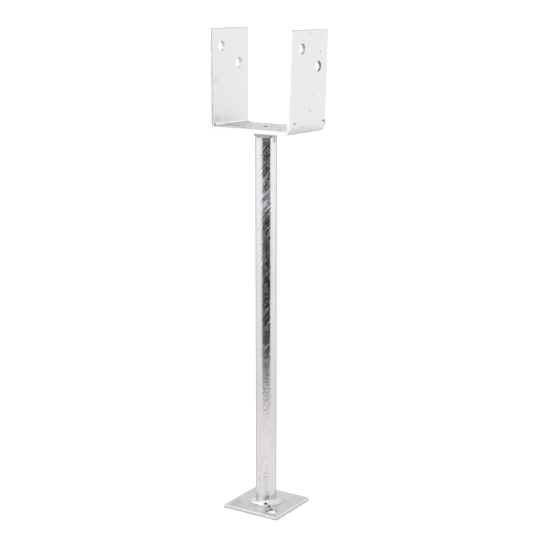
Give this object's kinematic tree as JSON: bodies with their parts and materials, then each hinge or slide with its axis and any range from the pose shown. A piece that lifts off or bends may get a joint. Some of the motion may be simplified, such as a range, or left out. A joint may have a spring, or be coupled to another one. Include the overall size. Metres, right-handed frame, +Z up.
{
  "type": "post anchor",
  "caption": "Galvanised steel post anchor: a bent strap saddle for a square post on a round tube stem with a square base plate, to be set in concrete.",
  "frame": {"origin": "underside of the base plate, on the stem's axis, which is within a millimetre of the plate's middle", "axes": "+Z up along the stem to the saddle, +X from ear to ear, +Y across the strap"},
  "size_m": [0.1017, 0.0695, 0.495],
  "materials": {
    "zinc_saddle": "hot-dip galvanised, pale and dull with fine mottling",
    "zinc_stem": "hot-dip galvanised, brighter and glossier, with long streaks",
    "zinc_plate": "hot-dip galvanised, cool grey with paler patches",
    "zinc_weld": "hot-dip galvanised over a rough weld bead"
  },
  "bodies": {
    "root": {"saddle": "zinc_saddle", "stem": "zinc_stem", "base_plate": "zinc_plate", "saddle_weld": "zinc_weld", "foot_weld": "zinc_weld"}
  },
  "joints": []
}
